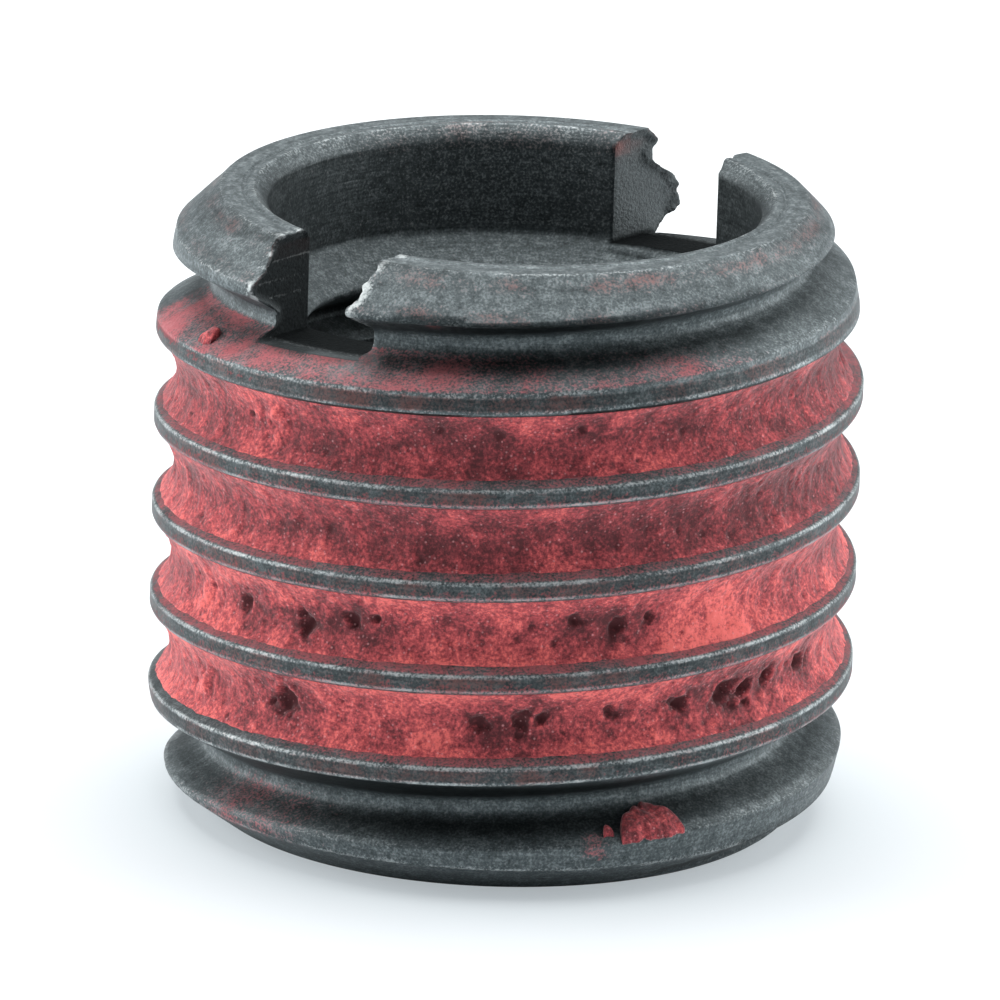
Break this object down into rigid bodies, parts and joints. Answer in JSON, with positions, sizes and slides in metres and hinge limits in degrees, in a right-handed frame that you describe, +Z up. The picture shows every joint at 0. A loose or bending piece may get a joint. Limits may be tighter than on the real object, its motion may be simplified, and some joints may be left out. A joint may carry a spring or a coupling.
{
  "type": "slotted threaded insert",
  "caption": "Short steel sleeve with a coarse outer thread, a finer threaded bore, a driver slot across its top and dried red locking compound in the outer grooves",
  "frame": {"origin": "centre of the bottom face, on the thread axis", "axes": "+Z up along the thread axis towards the slotted end, with the insert standing on its unslotted end; the driver slot runs at 50.8 degrees from +X"},
  "size_m": [0.019, 0.019, 0.0169],
  "materials": {
    "black_steel": "turned carbon steel with a matt black oxide, worn bright along the crests and burrs",
    "red_compound": "dried grainy red thread-locking compound, pitted, dusty at its edges"
  },
  "bodies": {
    "root": {"insert_body": "black_steel", "locking_compound": "red_compound"}
  },
  "joints": []
}
